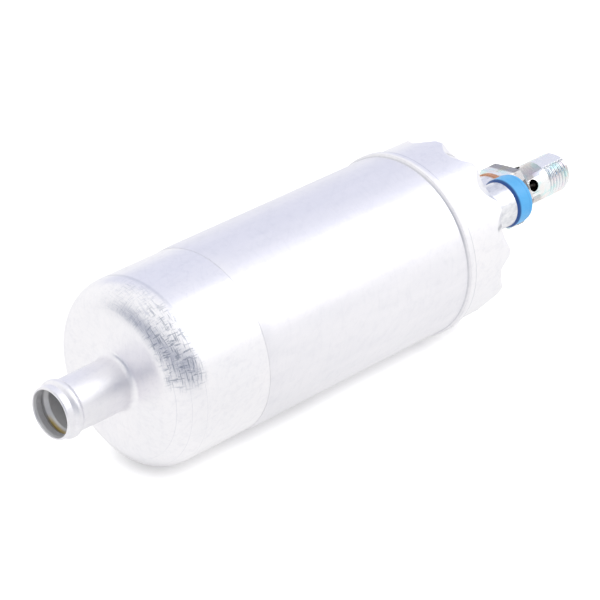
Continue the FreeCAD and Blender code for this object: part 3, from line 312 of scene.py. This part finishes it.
def turning_arcs(tree, y, z, along, blotch):
    """Three thin broken lines round the lower side of the shoulder."""
    lines = largest(tree, line_mask(tree, along, -51.2 * MM, 0.3 * MM),
                    line_mask(tree, along, -44.7 * MM, 0.2 * MM),
                    line_mask(tree, along, -38.5 * MM, 0.2 * MM))
    low = fade_out(tree, z, 6.0 * MM, 12.0 * MM, smooth=False)
    near = remap(tree, y, -4.0 * MM, -12.0 * MM)
    return product(tree, lines, low, near, remap(tree, blotch, 0.35, 0.55))


def rim_crease_shade(tree, place, x, angle):
    """Painted shade in the creases where the rim was pressed in, one beside each dent."""
    turned = calc(tree, "SUBTRACT", angle, CREASE_ANGLE)
    dents = total(tree, product(tree, turned, DENT_COUNT / (2.0 * math.pi)), DENT_COUNT + 0.5)
    lines = line_mask(tree, calc(tree, "FRACT", dents), 0.5, 0.09)
    on_rim = remap(tree, x, 60.4 * MM, 61.6 * MM, smooth=True)
    return product(tree, lines, on_rim, remap(tree, noise(tree, place, 90.0), 0.40, 0.55))


def mouth_layers(tree, x, z, bore, blotch):
    """Colours inside the neck: dull, with painted light low down and a painted highlight on the inner ridge
    behind the bead, and a stain.
    """
    painted_light_low = product(tree, bore, remap(tree, x, -97.8 * MM, -97.0 * MM),
                       fade_out(tree, z, -7.2 * MM, 1.5 * MM))
    step_highlight = product(tree, bore, band(tree, x, rise=(-98.9 * MM, -98.3 * MM), fall=(-97.8 * MM, -97.0 * MM),
                                    smooth=False))
    stain = product(tree, bore, fade_out(tree, z, -6.8 * MM, -4.2 * MM),
                    band(tree, x, rise=(-99.4 * MM, -98.8 * MM), fall=(-98.4 * MM, -97.6 * MM)),
                    remap(tree, blotch, 0.3, 0.6, 0.5, 1.0))
    return ((bore, 1.0, (0.62, 0.62, 0.64)), (painted_light_low, 0.85, (0.97, 0.97, 0.98)),
            (step_highlight, 0.6, (0.95, 0.95, 0.96)), (stain, 1.0, (0.50, 0.35, 0.04)))


def can_material():
    """Drawn aluminium: fine turning lines, short crossed scratches under a painted reflection, painted shade
    at the ring's feet and the rim's creases, dull and stained inside with painted light.
    """
    material, tree, shader = new_material("can_aluminium", 1.0, 0.32)
    place = place_of(tree)
    x, radius, angle = round_place(tree, place)
    y, z = split(tree, place)[1:]
    along = total(tree, x, radius)
    around = product(tree, angle, 27.0 * MM)
    lines = turning_lines(tree, along, angle, 2600.0, 3.0, 0.6)
    blotch = noise(tree, place, 55.0, 4.0, 0.55)
    # marks, with painted reflection and painted shade among them
    rubbed_and_reflection, scored_and_reflection = scratches_and_painted_reflection(tree, x, angle, along, around)
    # painted shade at the formed ring's two feet, its concave corners
    ring_feet_shade = largest(tree, line_mask(tree, x, RING_START + 0.3 * MM, 0.45 * MM),
                        line_mask(tree, x, RING_END - 1.0 * MM, 0.5 * MM))
    ring_flank = line_mask(tree, x, RING_START + 1.2 * MM, 1.3 * MM)
    bore = product(tree, calc(tree, "LESS_THAN", radius, 8.2 * MM), between(tree, x, -102.7 * MM, -75.9 * MM))
    scuffs = largest(tree, strokes(tree, along, around, 0.7, 31.0, 900.0, 110.0),
                     strokes(tree, along, around, 1.4, 37.0, 700.0, 90.0))
    handled = handling_marks(tree, place, 480.0, (0.48, 0.68), scuffs, (0.20, 0.10))
    # colour
    clean = blend_colour(tree, remap(tree, blotch, 0.35, 0.7), (0.965, 0.957, 0.985), (0.995, 0.980, 1.0))
    worn_and_painted_light = paint(tree, clean, (
        (handled, 1.0, (0.74, 0.74, 0.80)),
        # the shoulder's two patches are real scratches with a painted dark reflection laid over them
        (rubbed_and_reflection, 0.22, (0.60, 0.65, 0.74)),
        (dark_line_on_top(tree, x, angle), 0.32, (0.50, 0.52, 0.58)),
        (ring_feet_shade, 0.42, (0.40, 0.42, 0.48)),
        (scored_and_reflection, 0.66, (0.28, 0.32, 0.40)),
        (rim_crease_shade(tree, place, x, angle), 0.75, (0.30, 0.31, 0.36)),
        (turning_arcs(tree, y, z, along, blotch), 0.30, (0.55, 0.56, 0.64)),
    ))
    colour = paint(tree, worn_and_painted_light, mouth_layers(tree, x, z, bore, blotch))
    # the bore and the ring's shaded flank reflect less
    metal = calc(tree, "SUBTRACT", remap(tree, bore, 0.0, 1.0, 1.0, 0.40), product(tree, ring_flank, 0.85))
    tree.links.new(metal, shader.inputs["Metallic"])
    # roughness: satin all over, duller where the neck begins, on the ring's flank and where it is rubbed
    satin = remap(tree, lines, 0.3, 0.7, 0.30, 0.35)
    neck_root = product(tree, remap(tree, x, -84.0 * MM, -79.5 * MM, 0.14, 0.24, smooth=True),
                        fade_out(tree, x, -78.6 * MM, -77.6 * MM))
    rough = total(tree, satin, neck_root, product(tree, ring_flank, 0.34), product(tree, rubbed_and_reflection, 0.42))
    # relief: turning lines, scratches, and a hammered look that grows towards the rim
    hammered = noise(tree, place, 210.0)
    near_rim = remap(tree, x, 46.0 * MM, 56.0 * MM, smooth=True)
    relief = bump(tree, lines, 5e-7)
    relief = bump(tree, rubbed_and_reflection, 1.2e-5, relief)
    relief = bump(tree, product(tree, hammered, total(tree, near_rim, 0.12)), 5e-5, relief)
    finish_shader(tree, shader, colour, rough, relief)
    return material


def film_material():
    """Thin silvery film: nearly smooth, with faint long ripples from its wrapping."""
    material, tree, shader = new_material("film_aluminium", 1.0, 0.30)
    place = place_of(tree)
    x, _, angle = round_place(tree, place)
    around = product(tree, angle, 30.0 * MM)
    ripples = noise_over(tree, (product(tree, x, 45.0), product(tree, angle, 7.0), 0.0), 3.0)
    grain = noise(tree, place, 1800.0)
    scuffs = largest(tree, strokes(tree, x, around, 0.9, 41.0, 620.0, 70.0),
                     strokes(tree, x, around, 0.2, 47.0, 800.0, 100.0))
    handled = handling_marks(tree, place, 420.0, (0.50, 0.70), scuffs, (0.14, 0.08))
    clean = blend_colour(tree, remap(tree, ripples, 0.3, 0.7), (0.915, 0.908, 0.945), (0.955, 0.943, 0.975))
    colour = paint(tree, clean, ((handled, 1.0, (0.72, 0.72, 0.78)),))
    relief = bump(tree, grain, 8e-7)
    relief = bump(tree, ripples, 7e-5, relief)
    finish_shader(tree, shader, colour, remap(tree, grain, 0.3, 0.7, 0.38, 0.44), relief)
    return material


def cast_material():
    """Cast aluminium with streaky grey mottling and a fine sandy skin."""
    material, tree, shader = new_material("cast_aluminium", 1.0, 0.36)
    place = place_of(tree)
    x, y, z = split(tree, place)
    streaked = (product(tree, x, 260.0), product(tree, y, 620.0), product(tree, z, 620.0))
    mottle = noise_over(tree, streaked, 4.0, 0.6)
    skin = noise(tree, place, 2600.0)
    colour = blend_colour(tree, remap(tree, mottle, 0.36, 0.62), (0.72, 0.73, 0.77), (0.94, 0.94, 0.96))
    relief = bump(tree, skin, 4e-6)
    relief = bump(tree, mottle, 7e-6, relief)
    finish_shader(tree, shader, colour, remap(tree, mottle, 0.3, 0.7, 0.40, 0.32), relief)
    return material


def zinc_material():
    """Zinc plating: bright, with faint green, rose and straw-coloured clouds and turning lines, painted shade
    on the hex, in the cross holes and the thread's roots, and a painted highlight on the flat.
    """
    material, tree, shader = new_material("zinc_steel", 1.0, 0.24)
    place = place_of(tree)
    x, radius, angle = round_place(tree, place)
    z = split(tree, place)[2]
    cloud = noise(tree, place, 190.0, 2.0, 0.4)
    streaks = noise_over(tree, (product(tree, x, 240.0), product(tree, angle, 1.6), 7.0))
    lines = turning_lines(tree, x, angle, 4200.0)
    warmth = remap(tree, cloud, 0.36, 0.62, smooth=True)
    warm = blend_colour(tree, warmth, (0.95, 0.97, 0.98), (0.96, 0.91, 0.88))
    # painted shade: the hex's rear part is painted dark, and so are the cross holes inside
    hexagon_shade = product(tree, calc(tree, "GREATER_THAN", radius, 8.2 * MM),
                      remap(tree, x, HEX_START + 3.8 * MM, HEX_START + 4.8 * MM))
    hole_shade = product(tree, calc(tree, "LESS_THAN", radius, 6.5 * MM), between(tree, x, 100.5 * MM, 108.7 * MM))
    # painted highlight: the flat is painted near white, and painted shade darkens the thread's roots beside
    # it
    on_end = calc(tree, "GREATER_THAN", x, THREAD_START)
    on_flat = product(tree, calc(tree, "GREATER_THAN", z, 5.9 * MM), on_end)
    root_shade = product(tree, fade_out(tree, radius, 6.05 * MM, 6.55 * MM, smooth=False),
                    between(tree, x, 112.3 * MM, 122.2 * MM), calc(tree, "SUBTRACT", 1.0, on_flat))
    colour = paint(tree, warm, (
        (remap(tree, streaks, 0.48, 0.66, 0.0, 0.8, smooth=True), 1.0, (0.74, 0.95, 0.94)),
        (remap(tree, streaks, 0.30, 0.42, 0.5, 0.0, smooth=True), 1.0, (0.93, 0.80, 0.88)),
        (hexagon_shade, 0.95, (0.36, 0.35, 0.36)),
        (hole_shade, 1.0, (0.05, 0.035, 0.025)),
        (on_flat, 0.85, (0.99, 0.99, 1.0)),
        (root_shade, 0.55, (0.30, 0.38, 0.50)),
    ))
    finish_shader(tree, shader, colour, remap(tree, lines, 0.3, 0.7, 0.20, 0.30), bump(tree, lines, 2e-6))
    return material


def blue_material():
    """Bright blue moulded plastic, with painted shade on its front edge and in the groove before the lip."""
    material, tree, shader = new_material("blue_plastic", 0.0, 0.38)
    place = place_of(tree)
    x = split(tree, place)[0]
    cloud = noise(tree, place, 160.0)
    skin = noise(tree, place, 3200.0)
    bright = blend_colour(tree, remap(tree, cloud, 0.3, 0.7), (0.085, 0.46, 0.93), (0.12, 0.52, 0.97))
    # painted shade: the front edge is painted navy, and the groove before the lip a darker blue
    front = fade_out(tree, x, 77.3 * MM, 78.0 * MM, smooth=False)
    groove = line_mask(tree, x, 82.1 * MM, 0.25 * MM)
    colour = paint(tree, bright, ((front, 0.95, (0.002, 0.05, 0.27)), (groove, 0.6, (0.02, 0.20, 0.62))))
    finish_shader(tree, shader, colour, remap(tree, cloud, 0.3, 0.7, 0.34, 0.42), bump(tree, skin, 2e-6))
    return material


# metals and plastics of the inside


def turned_metal(name, dark, light, roughness):
    """Turned metal: rings round the axis, with slightly darker patches."""
    material, tree, shader = new_material(name, 1.0, roughness)
    place = place_of(tree)
    x, radius, angle = round_place(tree, place)
    lines = turning_lines(tree, total(tree, x, radius), angle, 3600.0)
    patch = noise(tree, place, 240.0, 3.0)
    colour = blend_colour(tree, remap(tree, patch, 0.35, 0.65), dark, light)
    finish_shader(tree, shader, colour, remap(tree, lines, 0.3, 0.7, roughness - 0.06, roughness + 0.06),
                  bump(tree, lines, 2e-6))
    return material


def grained(name, metallic, dark, light, roughness, scale, height):
    """Pressed, moulded or cast stuff with an even grain and soft patches."""
    material, tree, shader = new_material(name, metallic, roughness)
    place = place_of(tree)
    grain = noise(tree, place, scale, 3.0, 0.6)
    patch = noise(tree, place, scale * 0.12)
    colour = blend_colour(tree, remap(tree, patch, 0.35, 0.65), dark, light)
    finish_shader(tree, shader, colour, remap(tree, grain, 0.3, 0.7, roughness - 0.07, roughness + 0.07),
                  bump(tree, grain, height))
    return material


def winding_material():
    """Enamelled copper windings: close-lying wires seen as ridges."""
    material, tree, shader = new_material("copper", 1.0, 0.30)
    place = place_of(tree)
    x, radius, _ = round_place(tree, place)
    wires = calc(tree, "SINE", product(tree, total(tree, radius, x), 9000.0))
    patch = noise(tree, place, 300.0, 3.0)
    colour = blend_colour(tree, remap(tree, patch, 0.3, 0.7), (0.62, 0.28, 0.15), (0.82, 0.44, 0.27))
    finish_shader(tree, shader, colour, remap(tree, patch, 0.3, 0.7, 0.25, 0.36), bump(tree, wires, 1.5e-5))
    return material


MATERIALS = {
    "can_aluminium": can_material(),
    "film_aluminium": film_material(),
    "cast_aluminium": cast_material(),
    "zinc_steel": zinc_material(),
    "blue_plastic": blue_material(),
    "copper": winding_material(),
}

# slot, darker colour, lighter colour, roughness
for slot, *finish in (
        ("bright_steel", (0.54, 0.54, 0.55), (0.64, 0.64, 0.65), 0.26),
        ("spring_steel", (0.44, 0.44, 0.45), (0.54, 0.54, 0.55), 0.30),
        ("bronze", (0.58, 0.42, 0.22), (0.70, 0.54, 0.31), 0.34),
        ("tinned_brass", (0.68, 0.62, 0.42), (0.78, 0.72, 0.52), 0.28)):
    MATERIALS[slot] = turned_metal(slot, *finish)

# slot, metallic, darker colour, lighter colour, roughness, scale of the grain, its height in metres
for slot, *finish in (
        ("sintered_steel", 1.0, (0.30, 0.30, 0.31), (0.42, 0.42, 0.43), 0.46, 2200.0, 6e-6),
        ("dark_plastic", 0.0, (0.035, 0.035, 0.038), (0.06, 0.06, 0.064), 0.50, 1500.0, 5e-6),
        ("carbon", 0.0, (0.018, 0.018, 0.02), (0.04, 0.04, 0.042), 0.62, 2600.0, 6e-6),
        ("ferrite", 0.0, (0.06, 0.06, 0.065), (0.11, 0.11, 0.115), 0.66, 900.0, 1e-5),
        ("seal_rubber", 0.0, (0.02, 0.02, 0.02), (0.035, 0.035, 0.035), 0.48, 1200.0, 3e-6)):
    MATERIALS[slot] = grained(slot, *finish)

for part in frame["record"]["subparts"]:
    for node_slot in frame["nodes"][part["node"]].material_slots:
        node_slot.link = "OBJECT"
        node_slot.material = MATERIALS[part["material_slot"]]


# meshes round the pump's axis


def ring(mesh, x, radii):
    """Vertices round the axis at one place along it, one for each radius."""
    row = []
    for k, radius in enumerate(radii):
        angle = 2.0 * math.pi * k / len(radii)
        row.append(mesh.verts.new((x, radius * math.cos(angle), radius * math.sin(angle))))
    return row


def join_rings(mesh, row, ahead):
    """Faces between two rings with as many vertices."""
    for k in range(len(row)):
        following = (k + 1) % len(row)
        mesh.faces.new((row[k], row[following], ahead[following], ahead[k]))


def shade_smooth(data, sharp_angle):
    """Smooth shading, with sharp edges above the angle in degrees."""
    for face in data.polygons:
        face.use_smooth = True
    data.set_sharp_from_angle(angle=math.radians(sharp_angle))


def finished_mesh(mesh, name, sharp_angle):
    """Mesh data from a bmesh, which is freed."""
    data = bpy.data.meshes.new(name)
    mesh.to_mesh(data)
    mesh.free()
    shade_smooth(data, sharp_angle)
    return data


# outlet fitting: the CAD solid with its plain end replaced by cut thread


def held(share):
    """Share held between zero and one."""
    return min(max(share, 0.0), 1.0)


def thread_radius(x, angle):
    """Radius of the threaded end at a point, with its run-out, end chamfer and flat."""
    turn = ((x - THREAD_START) / THREAD_PITCH - angle / (2.0 * math.pi)) % 1.0
    away = min(turn, 1.0 - turn)
    depth = held((away - THREAD_CREST) / THREAD_FLANK) * THREAD_DEPTH
    # the first turn grows from the plain shank
    depth = depth * held((x - THREAD_START) / THREAD_PITCH)
    # the rolled thread stops at the flat's edges; the least cosine leaves the far side round
    flat_reach = FLAT_DISTANCE / max(math.cos(angle - FLAT_ANGLE), 0.1)
    depth = depth * held((flat_reach - FLAT_BLEND) / (SHANK_RADIUS - FLAT_BLEND))
    chamfered = SHANK_RADIUS - END_CHAMFER + (FITTING_END - x)
    return min(SHANK_RADIUS - depth, chamfered, flat_reach)


def thread_mesh():
    """Grid round the threaded end, closed by a disc at each end."""
    angles = [2.0 * math.pi * k / THREAD_SIDES for k in range(THREAD_SIDES)]
    mesh = bmesh.new()
    rows = []
    for i in range(THREAD_RINGS + 1):
        x = THREAD_START + (FITTING_END - THREAD_START) * i / THREAD_RINGS
        rows.append(ring(mesh, x, [thread_radius(x, angle) for angle in angles]))
    for row, ahead in zip(rows, rows[1:]):
        join_rings(mesh, row, ahead)
    mesh.faces.new(rows[-1])
    mesh.faces.new(list(reversed(rows[0])))
    bmesh.ops.recalc_face_normals(mesh, faces=mesh.faces)
    return finished_mesh(mesh, "outlet_thread", 38.0)


def fitting_without_end():
    """Copy of the fitting's mesh that stops where the thread begins."""
    mesh = bmesh.new()
    mesh.from_mesh(frame["nodes"]["valve_fitting"].data)
    bmesh.ops.remove_doubles(mesh, verts=mesh.verts, dist=1e-7)
    cut = Vector((THREAD_START, 0.0, 0.0))
    everything = list(mesh.verts) + list(mesh.edges) + list(mesh.faces)
    bmesh.ops.bisect_plane(mesh, geom=everything, plane_co=cut, plane_no=(1.0, 0.0, 0.0), clear_outer=True)
    return finished_mesh(mesh, "fitting_body", 30.0)


def film_mesh():
    """Film with a front edge that thins out, so that only a faint line shows on the can."""
    outline = [(FILM_FRONT, FILM_INNER), (FILM_FRONT, 30.06), (-41.8, 30.17), (-40.4, 30.28), (-39.0, 30.34),
               (-37.0, FILM_OUTER), (-10.0, FILM_OUTER), (18.0, FILM_OUTER), (FILM_REAR, FILM_OUTER),
               (FILM_REAR, FILM_INNER)]
    mesh = bmesh.new()
    rows = [ring(mesh, x * MM, [radius * MM] * FILM_SIDES) for x, radius in outline]
    for row, ahead in zip(rows, rows[1:] + rows[:1]):
        join_rings(mesh, row, ahead)
    bmesh.ops.recalc_face_normals(mesh, faces=mesh.faces)
    return finished_mesh(mesh, "film", 40.0)


def add_piece(name, data, slot):
    """New piece on the housing, with the finish of a material slot."""
    piece = bpy.data.objects.new(name, data)
    bpy.context.scene.collection.objects.link(piece)
    data.materials.clear()
    data.materials.append(MATERIALS[slot])
    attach(piece, "housing")
    return piece


fitting = add_piece("fitting_body", fitting_without_end(), "zinc_steel")
add_piece("outlet_thread", thread_mesh(), "zinc_steel")
film = add_piece("film", film_mesh(), "film_aluminium")
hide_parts("valve_fitting")
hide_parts("label_sleeve")


# springs, copied onto the housing


def pressed_spring(node):
    """Copy of a spring, shaded smooth and riding on the housing, in place of the CAD spring."""
    piece = add_piece(node + "_wire", frame["nodes"][node].data.copy(), "spring_steel")
    shade_smooth(piece.data, 50.0)
    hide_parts(node)
    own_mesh(piece)


# the relief ball sits inside its spring's last turn, so that spring gives a little more than the ball's
# travel of 1.2 mm
pressed_spring("relief_spring")
pressed_spring("check_spring")
pressed_spring("brush_spring_left")
pressed_spring("brush_spring_right")


# floor, world, lamp, cards and camera


def emission(tree):
    """Emission node with its strength's input and its output."""
    node = tree.nodes.new("ShaderNodeEmission")
    return node.inputs["Strength"], node.outputs["Emission"]


def floor_material():
    """Pale floor. Camera rays get a little glow added, so only the shadow near the can shows."""
    material, tree, shader = new_material("floor_white", 0.0, 0.6)
    shader.inputs["Specular IOR Level"].default_value = 0.1
    colour = blend_colour(tree, noise(tree, place_of(tree), 8.0), (0.94, 0.94, 0.945), (0.95, 0.95, 0.95))
    tree.links.new(colour, shader.inputs["Base Color"])
    near_pump = tree.nodes.new("ShaderNodeAmbientOcclusion")
    near_pump.samples = 12
    near_pump.inputs["Distance"].default_value = 6.0 * MM
    openness = near_pump.outputs["AO"]
    rays = tree.nodes.new("ShaderNodeLightPath").outputs
    # metal and plastic mirror a nearly white floor
    mirrored = largest(tree, rays["Is Glossy Ray"], rays["Is Transmission Ray"])
    glow_strength, glow = emission(tree)
    tree.links.new(remap(tree, openness, 0.0, 1.0, 0.68, 1.0), glow_strength)
    mix = tree.nodes.new("ShaderNodeMixShader")
    tree.links.new(product(tree, mirrored, 0.88), mix.inputs["Fac"])
    tree.links.new(shader.outputs["BSDF"], mix.inputs[1])
    tree.links.new(glow, mix.inputs[2])
    # the camera sees it lifted to white, but for the shadow
    lift_strength, lift = emission(tree)
    open_floor = remap(tree, calc(tree, "SQRT", openness), 0.28, 0.90, 0.0, 0.50)
    tree.links.new(product(tree, rays["Is Camera Ray"], open_floor), lift_strength)
    whole = tree.nodes.new("ShaderNodeAddShader")
    tree.links.new(mix.outputs["Shader"], whole.inputs[0])
    tree.links.new(lift, whole.inputs[1])
    tree.links.new(whole.outputs["Shader"], tree.nodes["Material Output"].inputs["Surface"])
    return material


corners = [(-HALF_FLOOR, -HALF_FLOOR, FLOOR_Z), (HALF_FLOOR, -HALF_FLOOR, FLOOR_Z),
           (HALF_FLOOR, HALF_FLOOR, FLOOR_Z), (-HALF_FLOOR, HALF_FLOOR, FLOOR_Z)]
floor_mesh = bpy.data.meshes.new("floor")
floor_mesh.from_pydata(corners, [], [(0, 1, 2, 3)])
floor_mesh.materials.append(floor_material())
floor = bpy.data.objects.new("floor", floor_mesh)
bpy.context.scene.collection.objects.link(floor)


def white_world(ambient_strength):
    """White world: full white in view and in reflections, and a softer white as light."""
    world = bpy.data.worlds.new("studio")
    bpy.context.scene.world = world
    world.use_nodes = True
    tree = world.node_tree
    ambient = tree.nodes["Background"]
    in_view = tree.nodes.new("ShaderNodeBackground")
    for background, strength in ((ambient, ambient_strength), (in_view, 1.0)):
        background.inputs["Color"].default_value = (1.0, 1.0, 1.0, 1.0)
        background.inputs["Strength"].default_value = strength
    rays = tree.nodes.new("ShaderNodeLightPath").outputs
    seen = largest(tree, rays["Is Camera Ray"], rays["Is Glossy Ray"], rays["Is Transmission Ray"])
    mix = tree.nodes.new("ShaderNodeMixShader")
    tree.links.new(seen, mix.inputs["Fac"])
    tree.links.new(ambient.outputs["Background"], mix.inputs[1])
    tree.links.new(in_view.outputs["Background"], mix.inputs[2])
    tree.links.new(mix.outputs["Shader"], tree.nodes["World Output"].inputs["Surface"])


def soft_lamp(name, direction, distance, size, power):
    """Square lamp that faces the pump from the given direction."""
    data = bpy.data.lights.new(name, "AREA")
    data.shape = "SQUARE"
    data.size = size
    data.energy = power
    lamp = bpy.data.objects.new(name, data)
    away = Vector(direction).normalized()
    facing = away.to_track_quat("Z", "Y").to_matrix().to_4x4()
    lamp.matrix_world = Matrix.Translation(away * distance) @ facing
    bpy.context.scene.collection.objects.link(lamp)


def card_wall(name, bearings, heights, distance, colour):
    """Curved card round the pump, seen only as a reflection; bearings and heights are in degrees."""
    steps = 24
    first, last = bearings
    points = []
    for i in range(steps + 1):
        bearing = math.radians(first + (last - first) * i / steps)
        for height in heights:
            points.append((distance * math.cos(bearing), distance * math.sin(bearing),
                           distance * math.tan(math.radians(height))))
    faces = [(2 * i, 2 * i + 2, 2 * i + 3, 2 * i + 1) for i in range(steps)]
    data = bpy.data.meshes.new(name)
    data.from_pydata(points, [], faces)
    material, tree, shader = new_material(name, 0.0, 0.9)
    darker = tuple(0.96 * c for c in colour)
    shade = blend_colour(tree, noise(tree, place_of(tree), 3.0), darker, colour)
    light = tree.nodes.new("ShaderNodeEmission")
    tree.links.new(shade, light.inputs["Color"])
    tree.links.new(light.outputs["Emission"], tree.nodes["Material Output"].inputs["Surface"])
    data.materials.append(material)
    card = bpy.data.objects.new(name, data)
    card.visible_camera = False
    card.visible_diffuse = False
    card.visible_shadow = False
    bpy.context.scene.collection.objects.link(card)


white_world(ambient_strength=0.85)
soft_lamp("overhead_lamp", direction=(0.62, -0.44, 0.65), distance=1.2, size=0.84, power=2.6)
card_wall("room_card", bearings=(140.0, 285.0), heights=(5.0, 33.0), distance=1.5, colour=(0.33, 0.36, 0.45))
card_wall("sky_card", bearings=(-22.0, 80.0), heights=(8.0, 60.0), distance=1.6, colour=(0.76, 0.78, 0.90))

camera_data = bpy.data.cameras.new("camera")
camera_data.lens = CAMERA_LENS
camera_data.sensor_width = SENSOR_WIDTH
camera = bpy.data.objects.new("camera", camera_data)
right = CAMERA_UP.cross(CAMERA_BACK).normalized()
up = CAMERA_BACK.cross(right).normalized()
back = CAMERA_BACK.normalized()
camera_turn = Matrix((right, up, back)).transposed().to_4x4()
camera.matrix_world = Matrix.Translation(CAMERA_PLACE) @ camera_turn
bpy.context.scene.collection.objects.link(camera)
bpy.context.scene.camera = camera
bpy.context.scene.view_settings.view_transform = "Standard"
